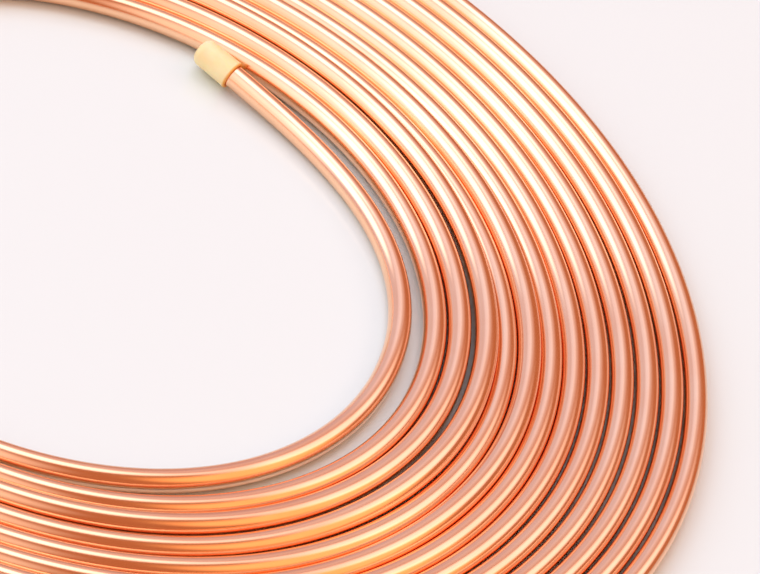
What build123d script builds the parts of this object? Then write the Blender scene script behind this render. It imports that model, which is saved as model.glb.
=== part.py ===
import os
from math import cos, radians, sin

from build123d import *

# Driving sizes in millimetres
tube_diameter = 9.52
turn_gap = 0.48
inner_turn_radius = 144.0
ring_turns = 12

loose_left_tightening = 8.5
loose_left_angle = 87.6
loose_right_tightening = 6.1
loose_right_angle = 96.6
loose_end_tightening = 28.5
loose_end_angle = 37.0

cap_wall = 1.39
cap_length = 18.0
cap_fit = 0.05
cap_floor = 2.0
cap_rounding = 3.5
cap_gap = 1.05
inner_cap_angle = 79.3
inner_cap_turn = 12.0
inner_cap_rise = 5.0
inner_cap_lift = 1.8

outer_arc_angle = 40.0
outer_tail_length = 26.0

# Worked out from the driving sizes
tube_radius = tube_diameter / 2
turn_pitch = tube_diameter + turn_gap
cap_radius = tube_radius + cap_fit + cap_wall
plug_length = cap_length - cap_floor
half_step = turn_pitch / 2
outer_turn_radius = inner_turn_radius + (ring_turns - 1) * turn_pitch
ring_y = -turn_pitch / 4

# The place of the inner cap, whose closed end is raised and leans towards the ring
inner_cap_heading = radians(inner_cap_angle + 90 - inner_cap_turn)
inner_cap_slope = radians(inner_cap_rise)
inner_cap_direction = Vector(
    cos(inner_cap_heading) * cos(inner_cap_slope),
    sin(inner_cap_heading) * cos(inner_cap_slope),
    sin(inner_cap_slope),
)
inner_cap_radius = inner_turn_radius - tube_radius - cap_radius - cap_gap
inner_cap_middle = Vector(
    inner_cap_radius * cos(radians(inner_cap_angle)),
    ring_y + inner_cap_radius * sin(radians(inner_cap_angle)),
    cap_radius + inner_cap_lift,
)
inner_cap_mouth = inner_cap_middle - inner_cap_direction * (cap_length / 2)

# The path of the loose inner turn, three bends from the ring's left side round to the inner cap
loose_bends = (
    (inner_turn_radius - loose_left_tightening, loose_left_angle),
    (inner_turn_radius - loose_right_tightening, loose_right_angle),
    (inner_turn_radius - loose_end_tightening, loose_end_angle),
)
bend_start = Vector(-inner_turn_radius, ring_y, tube_radius)
bend_direction = Vector(0, -1, 0)
with BuildLine() as loose_path:
    for bend_radius, bend_angle in loose_bends:
        bend = JernArc(bend_start, bend_direction, bend_radius, bend_angle)
        bend_start = bend @ 1
        bend_direction = bend % 1
    Spline(bend_start, inner_cap_mouth, tangents=[bend_direction, inner_cap_direction])
    Line(inner_cap_mouth, inner_cap_mouth + inner_cap_direction * plug_length)

# The path of the outer turn's last part, from the ring's right side to the outer cap
tail_radius = outer_turn_radius + half_step
tail_start = Vector(
    -half_step + tail_radius * cos(radians(outer_arc_angle)),
    ring_y - tail_radius * sin(radians(outer_arc_angle)),
    tube_radius,
)
outer_cap_direction = Vector(-sin(radians(outer_arc_angle)), -cos(radians(outer_arc_angle)), 0)
tail_rise = Vector(0, 0, cap_radius - tube_radius)
outer_cap_mouth = tail_start + outer_cap_direction * outer_tail_length + tail_rise
with BuildLine() as outer_path:
    CenterArc((-half_step, ring_y, tube_radius), tail_radius, 0, -outer_arc_angle)
    Spline(tail_start, outer_cap_mouth, tangents=[outer_cap_direction, outer_cap_direction])
    Line(outer_cap_mouth, outer_cap_mouth + outer_cap_direction * plug_length)

# The tube, whose turns are half circles on the far side and wider ones on the near side
with BuildPart() as copper_tube:
    with BuildSketch(Plane.XZ.offset(-ring_y)):
        for turn in range(ring_turns):
            with Locations((inner_turn_radius + turn * turn_pitch, tube_radius)):
                Circle(tube_radius)
    revolve(axis=Axis((0, ring_y, 0), (0, 0, 1)), revolution_arc=180)

    with BuildSketch(Plane.XZ.offset(-ring_y)):
        for turn in range(ring_turns - 1):
            with Locations((inner_turn_radius + turn * turn_pitch, tube_radius)):
                Circle(tube_radius)
    revolve(axis=Axis((-half_step, ring_y, 0), (0, 0, 1)), revolution_arc=-180)

    with BuildSketch(Plane.XZ.offset(-ring_y)):
        with Locations((-inner_turn_radius, tube_radius)):
            Circle(tube_radius)
    sweep(path=loose_path.wire())

    with BuildSketch(Plane.XZ.offset(-ring_y)):
        with Locations((outer_turn_radius, tube_radius)):
            Circle(tube_radius)
    sweep(path=outer_path.wire())

# The inner end cap, a moulded cup pushed over the tube end
with BuildPart() as inner_end_cap:
    with BuildSketch(Plane(origin=inner_cap_mouth, z_dir=inner_cap_direction)):
        Circle(cap_radius)
    extrude(amount=cap_length)
    closed_end = inner_end_cap.faces().sort_by(Axis(inner_cap_mouth, inner_cap_direction))[-1]
    fillet(closed_end.edges(), cap_rounding)
    with BuildSketch(Plane(origin=inner_cap_mouth, z_dir=inner_cap_direction)):
        Circle(tube_radius + cap_fit)
    extrude(amount=plug_length + cap_fit, mode=Mode.SUBTRACT)

# The outer end cap, the same moulding on the other end
with BuildPart() as outer_end_cap:
    with BuildSketch(Plane(origin=outer_cap_mouth, z_dir=outer_cap_direction)):
        Circle(cap_radius)
    extrude(amount=cap_length)
    closed_end = outer_end_cap.faces().sort_by(Axis(outer_cap_mouth, outer_cap_direction))[-1]
    fillet(closed_end.edges(), cap_rounding)
    with BuildSketch(Plane(origin=outer_cap_mouth, z_dir=outer_cap_direction)):
        Circle(tube_radius + cap_fit)
    extrude(amount=plug_length + cap_fit, mode=Mode.SUBTRACT)

os.makedirs("parts", exist_ok=True)
copper_tube.part.label = "copper_tube"
inner_end_cap.part.label = "inner_end_cap"
outer_end_cap.part.label = "outer_end_cap"
export_step(copper_tube.part, "parts/copper_tube.step")
export_step(inner_end_cap.part, "parts/inner_end_cap.step")
export_step(outer_end_cap.part, "parts/outer_end_cap.step")
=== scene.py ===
from math import atan2, cos, degrees, floor, pi, radians, sin

import bpy
from mathutils import Matrix, Vector


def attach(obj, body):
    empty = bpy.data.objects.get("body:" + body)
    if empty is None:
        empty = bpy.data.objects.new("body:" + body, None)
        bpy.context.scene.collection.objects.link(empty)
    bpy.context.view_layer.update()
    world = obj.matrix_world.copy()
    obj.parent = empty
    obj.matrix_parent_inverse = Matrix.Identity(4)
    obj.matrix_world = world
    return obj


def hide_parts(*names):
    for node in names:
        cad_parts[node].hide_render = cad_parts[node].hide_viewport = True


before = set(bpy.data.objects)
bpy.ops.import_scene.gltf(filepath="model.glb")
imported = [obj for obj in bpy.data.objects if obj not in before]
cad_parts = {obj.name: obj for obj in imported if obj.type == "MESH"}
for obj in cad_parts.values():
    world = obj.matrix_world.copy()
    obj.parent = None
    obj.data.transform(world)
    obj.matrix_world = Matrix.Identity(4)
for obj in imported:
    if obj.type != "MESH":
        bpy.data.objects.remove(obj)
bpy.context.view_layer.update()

# The camera stands well back with a long lens, looks down on the coil at about forty degrees
# and is turned on its own axis, so the turns sweep from the top left round to the bottom.
# Its place and its lens were fitted to the turns in the photo.
pitch = 0.010
tube_radius = 0.00476
coil_middle = Vector((-pitch / 4, -pitch / 4, tube_radius))
camera_distance = 2.5656
camera_elevation = radians(39.844)
camera_pan = radians(2.622)
camera_tilt = radians(0.537)
camera_roll = radians(-21.378)
camera_data = bpy.data.cameras.new("long_lens")
camera_data.sensor_width = 36
camera_data.lens = 311.286
camera_data.clip_start = 0.1
camera_data.clip_end = 20
camera = bpy.data.objects.new("camera", camera_data)
bpy.context.collection.objects.link(camera)
camera_turn = (
    Matrix.Rotation(pi / 2 - camera_elevation, 3, "X")
    @ Matrix.Rotation(-camera_pan, 3, "Y")
    @ Matrix.Rotation(camera_tilt, 3, "X")
    @ Matrix.Rotation(-camera_roll, 3, "Z")
)
away = Vector((0, -cos(camera_elevation), sin(camera_elevation)))
camera_place = coil_middle + away * camera_distance
camera.matrix_world = Matrix.Translation(camera_place) @ camera_turn.to_4x4()
bpy.context.scene.camera = camera

# The tube is one length of soft copper, drawn bright and wound flat from the inside out.
# Twelve turns lie side by side and one more is left loose inside them. Where the winding was
# slack, a turn stands off its neighbour or rides up a little on the one beside it.
millimetre = 0.001
tube_wall = 0.0008
turns = 12
inner_turn_radius = 0.144
ring_y = -pitch / 4
cap_radius = 0.0062
cap_length = 0.018
plug_length = 0.016
inner_cap_angle = radians(79.3)
inner_cap_heading = radians(79.3 + 90 - 12)
inner_cap_slope = radians(5)
inner_cap_distance = 0.13199
inner_cap_height = 0.008
loose_bends = ((0.1355, radians(87.6)), (0.1379, radians(96.6)), (0.1155, radians(37)))
outer_arc = radians(40)
outer_tail_length = 0.026

tube_sides = 24
step_angle = radians(1.2)
cap_bend_steps = 30
tail_steps = 8

far_side_middle = 55
far_side_reach = 70
far_side_fade = 45
left_side_fade = 0.14

settling_angle = radians(60)
crowded_at = radians(345)
crowded_reach = radians(70)
crowded_share = 0.2


def eased(share):
    """Rises smoothly from nothing to one as the share does."""
    share = min(max(share, 0), 1)
    return share * share * (3 - 2 * share)


def turn_value(values, wound):
    """The value of the turn at this angle, eased into the next turn's on the ring's left side."""
    turn = min(floor(wound / (2 * pi)), len(values) - 1)
    share = wound / (2 * pi) - turn
    last = values[max(turn - 1, 0)]
    following = values[min(turn + 1, len(values) - 1)]
    if share < left_side_fade:
        part = eased((share + left_side_fade) / (2 * left_side_fade))
        return last + (values[turn] - last) * part
    if share > 1 - left_side_fade:
        part = eased((share - 1 + left_side_fade) / (2 * left_side_fade))
        return values[turn] + (following - values[turn]) * part
    return values[turn]


def far_side(angle):
    """One on the ring's far right side, where most turns ride up, and nothing on its near side."""
    from_middle = angle - radians(far_side_middle)
    off = abs(degrees(atan2(sin(from_middle), cos(from_middle))))
    return 1 - eased((off - far_side_reach) / far_side_fade)


def bent_between(start, start_direction, end, end_direction, count):
    """Points on a smooth curve that leaves and arrives in the given directions."""
    reach = (end - start).length
    points = []
    for step in range(1, count + 1):
        s = step / count
        points.append(
            start * (2 * s**3 - 3 * s**2 + 1)
            + start_direction * (reach * (s**3 - 2 * s**2 + s))
            + end * (3 * s**2 - 2 * s**3)
            + end_direction * (reach * (s**3 - s**2))
        )
    return points


# Millimetres by which each turn stands off outward and rides up, from the first full turn to
# the outermost. They were fitted to the photo by a program, rounded and partly changed.
far_stand_off = (0.4, 0.2, 1.0, 0.0, -0.5, -1.1, -1.5, -1.4, -1.2, -0.9, -0.7, -0.4)
near_stand_off = (-1.2, -0.8, -0.5, 0.2, 0.3, 0.2, 0.1, 0.0, 0.0, -0.1, -0.1, -0.2)
far_rise = (0.9, 2.4, 3.9, 0.0, 1.8, 0.0, 0.0, 0.0, 0.3, 0.9, 1.2, 0.8)
near_rise = (0.2, 1.8, 0.0, 0.0, 0.0, 0.0, 0.0, 0.0, 0.0, 0.0, 0.0, 0.0)

cap_direction = Vector((
    cos(inner_cap_heading) * cos(inner_cap_slope),
    sin(inner_cap_heading) * cos(inner_cap_slope),
    sin(inner_cap_slope),
))
inner_cap_middle = Vector((
    inner_cap_distance * cos(inner_cap_angle),
    ring_y + inner_cap_distance * sin(inner_cap_angle),
    inner_cap_height,
))
inner_cap_mouth = inner_cap_middle - cap_direction * (cap_length / 2)

loose_turn = []
bend_start = Vector((-inner_turn_radius, ring_y, tube_radius))
heading = -pi / 2
for bend_radius, bend_angle in loose_bends:
    bend_middle = bend_start + Vector((-sin(heading), cos(heading), 0)) * bend_radius
    steps = round(bend_angle / step_angle)
    for step in range(steps):
        turned = heading + bend_angle * step / steps
        loose_turn.append(bend_middle + Vector((sin(turned), -cos(turned), 0)) * bend_radius)
    heading += bend_angle
    bend_start = bend_middle + Vector((sin(heading), -cos(heading), 0)) * bend_radius
bend_end_direction = Vector((cos(heading), sin(heading), 0))
loose_turn.append(bend_start)
loose_turn += bent_between(
    bend_start, bend_end_direction, inner_cap_mouth, cap_direction, cap_bend_steps
)

centreline = [
    inner_cap_mouth + cap_direction * plug_length,
    inner_cap_mouth + cap_direction * (plug_length / 2),
]
centreline += reversed(loose_turn[1:])
wound = 0.0
while wound < (2 * turns - 1) * pi + outer_arc:
    angle = pi - wound
    far = far_side(angle)
    settle = eased(wound / settling_angle)
    # The end of the first full turn keeps clear of the bend that leaves for the loose turn.
    crowded = eased(abs(wound - crowded_at) / crowded_reach)
    clear_of_bend = crowded_share + (1 - crowded_share) * crowded
    off = turn_value(far_stand_off, wound) * far + turn_value(near_stand_off, wound) * (1 - far)
    off *= settle * clear_of_bend
    rise = turn_value(far_rise, wound) * far + turn_value(near_rise, wound) * (1 - far)
    radius = inner_turn_radius - pitch / 4 + pitch * wound / (2 * pi) + millimetre * off
    centreline.append(Vector((
        coil_middle.x + radius * cos(angle),
        coil_middle.y + radius * sin(angle),
        tube_radius + millimetre * settle * rise,
    )))
    wound += step_angle
outer_cap_direction = Vector((-sin(outer_arc), -cos(outer_arc), 0))
tail_radius = inner_turn_radius + (turns - 1) * pitch + pitch / 2
outer_cap_mouth = Vector((
    -pitch / 2 + tail_radius * cos(outer_arc),
    ring_y - tail_radius * sin(outer_arc),
    cap_radius,
)) + outer_cap_direction * outer_tail_length
last = centreline[-1]
last_direction = (last - centreline[-2]).normalized()
centreline += bent_between(last, last_direction, outer_cap_mouth, outer_cap_direction, tail_steps)
centreline += [
    outer_cap_mouth + outer_cap_direction * (plug_length / 2),
    outer_cap_mouth + outer_cap_direction * plug_length,
]


def tube_mesh(name, points, radius, wall, sides):
    """A round tube along the points, with an open mouth at each end. Its UVs are metres of
    length and of girth, with the seam underneath."""
    mouth_depth = 0.006
    verts, faces, lengths = [], [], [0.0]
    for i, point in enumerate(points):
        before, after = points[max(i - 1, 0)], points[min(i + 1, len(points) - 1)]
        along = (after - before).normalized()
        outward = along.cross(Vector((0, 0, 1))).normalized()
        up = outward.cross(along)
        if i:
            lengths.append(lengths[-1] + (point - points[i - 1]).length)
        for side in range(sides):
            turn = 2 * pi * side / sides - pi / 2
            verts.append(point + (outward * cos(turn) + up * sin(turn)) * radius)
    for i in range(len(points) - 1):
        for side in range(sides):
            beside = (side + 1) % sides
            ring, next_ring = i * sides, (i + 1) * sides
            faces.append((ring + side, ring + beside, next_ring + beside, next_ring + side))
    for end, inside in ((0, 1), (len(points) - 1, len(points) - 2)):
        rim = [end * sides + side for side in range(sides)]
        inward = (points[inside] - points[end]).normalized()
        for depth in (Vector((0, 0, 0)), inward * mouth_depth):
            edge = list(range(len(verts), len(verts) + sides))
            for side in range(sides):
                out = (verts[end * sides + side] - points[end]).normalized()
                verts.append(points[end] + depth + out * (radius - wall))
            for side in range(sides):
                beside = (side + 1) % sides
                face = (rim[side], edge[side], edge[beside], rim[beside])
                faces.append(face if end == 0 else face[::-1])
            rim = edge
        faces.append(tuple(rim[::-1]) if end == 0 else tuple(rim))
    mesh = bpy.data.meshes.new(name)
    mesh.from_pydata(verts, [], faces)
    uv = mesh.uv_layers.new(name="length_and_girth")
    girth = 2 * pi * radius / sides
    for face in mesh.polygons[:(len(points) - 1) * sides]:
        i, side = divmod(face.index, sides)
        corners = ((i, side), (i, side + 1), (i + 1, side + 1), (i + 1, side))
        for loop, (ring, place) in zip(face.loop_indices, corners):
            uv.data[loop].uv = (lengths[ring], girth * place)
    mesh.shade_smooth()
    mesh.update()
    return mesh


drawn_tube_mesh = tube_mesh("drawn_copper_tube", centreline, tube_radius, tube_wall, tube_sides)
copper_tube = bpy.data.objects.new("drawn_copper_tube", drawn_tube_mesh)
bpy.context.collection.objects.link(copper_tube)

drawn_copper = bpy.data.materials.new("drawn_copper")
drawn_copper.use_nodes = True
nodes, links = drawn_copper.node_tree.nodes, drawn_copper.node_tree.links
shader = nodes["Principled BSDF"]
shader.inputs["Metallic"].default_value = 1.0
shader.inputs["Anisotropic"].default_value = 0.5
shader.inputs["Anisotropic Rotation"].default_value = 0.25
along_tube = nodes.new("ShaderNodeTangent")
along_tube.direction_type = "UV_MAP"
along_tube.uv_map = "length_and_girth"
links.new(along_tube.outputs["Tangent"], shader.inputs["Tangent"])
place = nodes.new("ShaderNodeUVMap")
place.uv_map = "length_and_girth"
drawn = nodes.new("ShaderNodeMapping")
drawn.inputs["Scale"].default_value = (6, 2600, 1)
links.new(place.outputs["UV"], drawn.inputs["Vector"])
die_lines = nodes.new("ShaderNodeTexNoise")
die_lines.inputs["Scale"].default_value = 1.0
die_lines.inputs["Detail"].default_value = 3.0
links.new(drawn.outputs["Vector"], die_lines.inputs["Vector"])
handled = nodes.new("ShaderNodeTexNoise")
handled.inputs["Scale"].default_value = 38.0
handled.inputs["Detail"].default_value = 4.0
object_place = nodes.new("ShaderNodeTexCoord")
links.new(object_place.outputs["Object"], handled.inputs["Vector"])
tone = nodes.new("ShaderNodeValToRGB")
tone.color_ramp.elements[0].position = 0.35
tone.color_ramp.elements[0].color = (0.97, 0.57, 0.35, 1)
tone.color_ramp.elements[1].position = 0.65
tone.color_ramp.elements[1].color = (0.98, 0.62, 0.395, 1)
links.new(handled.outputs["Fac"], tone.inputs["Fac"])
links.new(tone.outputs["Color"], shader.inputs["Base Color"])
sheen = nodes.new("ShaderNodeMapRange")
sheen.inputs["To Min"].default_value = 0.13
sheen.inputs["To Max"].default_value = 0.20
links.new(die_lines.outputs["Fac"], sheen.inputs["Value"])
links.new(sheen.outputs["Result"], shader.inputs["Roughness"])
grain = nodes.new("ShaderNodeBump")
grain.inputs["Strength"].default_value = 0.05
grain.inputs["Distance"].default_value = 0.00005
links.new(die_lines.outputs["Fac"], grain.inputs["Height"])
links.new(grain.outputs["Normal"], shader.inputs["Normal"])
copper_tube.data.materials.append(drawn_copper)
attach(copper_tube, "root")
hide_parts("copper_tube")

# The inner cap is a soft cream plastic cup, moulded in one with a rounded closed end.
# It is pushed over the cut end of the tube to keep dirt out, and grips by its own stretch.
cap_bore = 0.00481
cap_floor = 0.00195
lip = 0.0004
closed_rounding = 0.0035
gate_radius = 0.0011
gate_depth = 0.00025
gate_bevel = 0.0002
bore_lead = 0.004
collar_length = 0.0012
collar_fade = 0.0022
wall_step = 0.00022
end_taper = 0.0003
lip_steps = 6
rounding_steps = 8


def cap_mesh(name, mouth, direction, sides=56):
    """A cup turned about its axis, with a bore, a rolled lip, a collar, a slightly tapered wall,
    a rounded end and a gate dimple."""
    collar_radius = cap_radius - lip / 4
    end_radius = cap_radius - end_taper
    bore_end = cap_length - cap_floor
    profile = [(bore_end, 0.0), (bore_end, cap_bore), (bore_lead, cap_bore), (lip, cap_bore)]
    lip_middle = (cap_bore + collar_radius) / 2
    lip_half = (collar_radius - cap_bore) / 2
    for step in range(1, lip_steps):
        turn = pi * step / lip_steps
        profile.append((lip - lip * sin(turn), lip_middle - lip_half * cos(turn)))
    profile += [
        (lip, collar_radius),
        (collar_length, collar_radius),
        (collar_fade, cap_radius - wall_step),
        (cap_length - closed_rounding, end_radius),
    ]
    for step in range(1, rounding_steps + 1):
        turn = pi / 2 * step / rounding_steps
        profile.append((
            cap_length - closed_rounding + closed_rounding * sin(turn),
            end_radius - closed_rounding + closed_rounding * cos(turn),
        ))
    profile += [
        (cap_length, gate_radius + gate_bevel),
        (cap_length - gate_depth, gate_radius),
        (cap_length - gate_depth, 0.0),
    ]
    across = direction.cross(Vector((0, 0, 1))).normalized()
    up = across.cross(direction)
    verts, faces, rings = [], [], []
    for along, radius in profile:
        if radius == 0:
            rings.append([len(verts)])
            verts.append(mouth + direction * along)
            continue
        rings.append(list(range(len(verts), len(verts) + sides)))
        for side in range(sides):
            turn = 2 * pi * side / sides
            verts.append(mouth + direction * along + (across * cos(turn) + up * sin(turn)) * radius)
    for one, two in zip(rings, rings[1:]):
        for side in range(sides):
            beside = (side + 1) % sides
            if len(one) == 1:
                faces.append((one[0], two[beside], two[side]))
            elif len(two) == 1:
                faces.append((one[side], one[beside], two[0]))
            else:
                faces.append((one[side], one[beside], two[beside], two[side]))
    mesh = bpy.data.meshes.new(name)
    mesh.from_pydata(verts, [], faces)
    # Marks the lip, where the material paints an amber reflection of the copper.
    lip_painted_reflection = mesh.attributes.new("lip_painted_reflection", "FLOAT", "POINT")
    for ring, (along, radius) in zip(rings, profile):
        for vert in ring:
            lip_painted_reflection.data[vert].value = 1.0 if along <= lip else 0.0
    mesh.shade_smooth()
    mesh.update()
    return mesh


inner_cap_mesh = cap_mesh("inner_push_on_cap", inner_cap_mouth, cap_direction)
inner_cap = bpy.data.objects.new("inner_push_on_cap", inner_cap_mesh)
bpy.context.collection.objects.link(inner_cap)

cream_plastic = bpy.data.materials.new("cream_plastic")
cream_plastic.use_nodes = True
nodes, links = cream_plastic.node_tree.nodes, cream_plastic.node_tree.links
shader = nodes["Principled BSDF"]
shader.inputs["Roughness"].default_value = 0.42
shader.inputs["Subsurface Weight"].default_value = 0.35
shader.inputs["Subsurface Radius"].default_value = (1.0, 0.6, 0.25)
shader.inputs["Subsurface Scale"].default_value = 0.002
object_place = nodes.new("ShaderNodeTexCoord")
cloud = nodes.new("ShaderNodeTexNoise")
cloud.inputs["Scale"].default_value = 160.0
cloud.inputs["Detail"].default_value = 3.0
links.new(object_place.outputs["Object"], cloud.inputs["Vector"])
cream = nodes.new("ShaderNodeValToRGB")
cream.color_ramp.elements[0].position = 0.3
cream.color_ramp.elements[0].color = (0.97, 0.735, 0.36, 1)
cream.color_ramp.elements[1].position = 0.7
cream.color_ramp.elements[1].color = (0.98, 0.81, 0.45, 1)
links.new(cloud.outputs["Fac"], cream.inputs["Fac"])
# Painted reflection: the lip is coloured amber for the copper's orange reflection on the cap's
# edge, not a colour of the plastic.
lip_painted_reflection = nodes.new("ShaderNodeAttribute")
lip_painted_reflection.attribute_name = "lip_painted_reflection"
painted_amber_reflection = nodes.new("ShaderNodeMixRGB")
painted_amber_reflection.inputs["Color2"].default_value = (0.84, 0.40, 0.07, 1)
links.new(lip_painted_reflection.outputs["Fac"], painted_amber_reflection.inputs["Fac"])
links.new(cream.outputs["Color"], painted_amber_reflection.inputs["Color1"])
links.new(painted_amber_reflection.outputs["Color"], shader.inputs["Base Color"])
skin = nodes.new("ShaderNodeBump")
skin.inputs["Strength"].default_value = 0.15
skin.inputs["Distance"].default_value = 0.0001
links.new(cloud.outputs["Fac"], skin.inputs["Height"])
links.new(skin.outputs["Normal"], shader.inputs["Normal"])
inner_cap.data.materials.append(cream_plastic)
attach(inner_cap, "root")
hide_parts("inner_end_cap")

# The outer cap is the same moulding on the other end of the tube, which runs on for 26 mm
# past the last turn, almost straight. Its mouth faces back along the tube.
outer_cap_mesh = cap_mesh("outer_push_on_cap", outer_cap_mouth, outer_cap_direction)
outer_cap = bpy.data.objects.new("outer_push_on_cap", outer_cap_mesh)
bpy.context.collection.objects.link(outer_cap)
outer_cap.data.materials.append(cream_plastic)
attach(outer_cap, "root")
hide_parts("outer_end_cap")

# The coil lies on a smooth pale table top with a soft gloss, which is tinted a little against
# the light, in a room that is dim and warm. Wide pale walls of light with a bright
# panel stand at the left, a soft box hangs nearly overhead, two faint ones behind the coil,
# and a white and a warm one at the right.
table_size = 9.0
table_mesh = bpy.data.meshes.new("white_table_top")
half = table_size / 2
table_corners = [(-half, -half, 0), (half, -half, 0), (half, half, 0), (-half, half, 0)]
table_mesh.from_pydata(table_corners, [], [(0, 1, 2, 3)])
table_top = bpy.data.objects.new("white_table_top", table_mesh)
bpy.context.collection.objects.link(table_top)
white_gloss = bpy.data.materials.new("white_gloss")
white_gloss.use_nodes = True
shader = white_gloss.node_tree.nodes["Principled BSDF"]
shader.inputs["Base Color"].default_value = (0.77, 0.88, 0.86, 1)
shader.inputs["Roughness"].default_value = 0.20
shader.inputs["IOR"].default_value = 1.6
table_top.data.materials.append(white_gloss)


def toward(bearing, elevation):
    """The direction to a light, its bearing clockwise from straight behind the coil."""
    bearing, elevation = radians(bearing), radians(elevation)
    return Vector((sin(bearing) * cos(elevation), cos(bearing) * cos(elevation), sin(elevation)))


room = bpy.data.worlds.new("pale_room")
bpy.context.scene.world = room
room.use_nodes = True
nodes, links = room.node_tree.nodes, room.node_tree.links
background = nodes["Background"]
background.inputs["Strength"].default_value = 1.0
look = nodes.new("ShaderNodeTexCoord")


def add_glow(under, direction, edge, full, colour):
    """Adds a soft round patch of light, at its full within one angle and gone past the edge."""
    aim = nodes.new("ShaderNodeVectorMath")
    aim.operation = "DOT_PRODUCT"
    aim.inputs[1].default_value = direction
    links.new(look.outputs["Generated"], aim.inputs[0])
    fade = nodes.new("ShaderNodeMapRange")
    fade.interpolation_type = "SMOOTHSTEP"
    fade.inputs["From Min"].default_value = cos(radians(edge))
    fade.inputs["From Max"].default_value = cos(radians(full))
    links.new(aim.outputs["Value"], fade.inputs["Value"])
    patch = nodes.new("ShaderNodeMixRGB")
    patch.blend_type = "ADD"
    patch.inputs["Color2"].default_value = (*colour, 1)
    links.new(fade.outputs["Result"], patch.inputs["Fac"])
    if isinstance(under, tuple):
        patch.inputs["Color1"].default_value = (*under, 1)
    else:
        links.new(under, patch.inputs["Color1"])
    return patch.outputs["Color"]


# Bearings, heights and colours come from a fit to the photo's reflections, then changed one by one.
dim_room = (0.53, 0.19, 0.09)
light = add_glow(dim_room, toward(-68, 32), 76, 32, (0.25, 0.49, 0.77))
light = add_glow(light, toward(-150, 36), 51, 21, (0.77, 0.86, 0.88))
light = add_glow(light, toward(-85, 41), 28, 11, (1.35, 1.65, 1.9))
light = add_glow(light, toward(-14, 73), 25, 11, (1.55, 1.7, 1.85))
light = add_glow(light, toward(-26, 43), 18, 6, (0.2, 0.28, 0.4))
light = add_glow(light, toward(0, 43), 20, 6, (0.14, 0.12, 0.1))
light = add_glow(light, toward(46, 43), 24, 8, (1.1, 1.2, 1.35))
light = add_glow(light, toward(90, 36), 32, 13, (1.1, 0.63, 0.28))
links.new(light, background.inputs["Color"])

bpy.context.scene.cycles.glossy_bounces = 10
bpy.context.scene.view_settings.view_transform = "Standard"
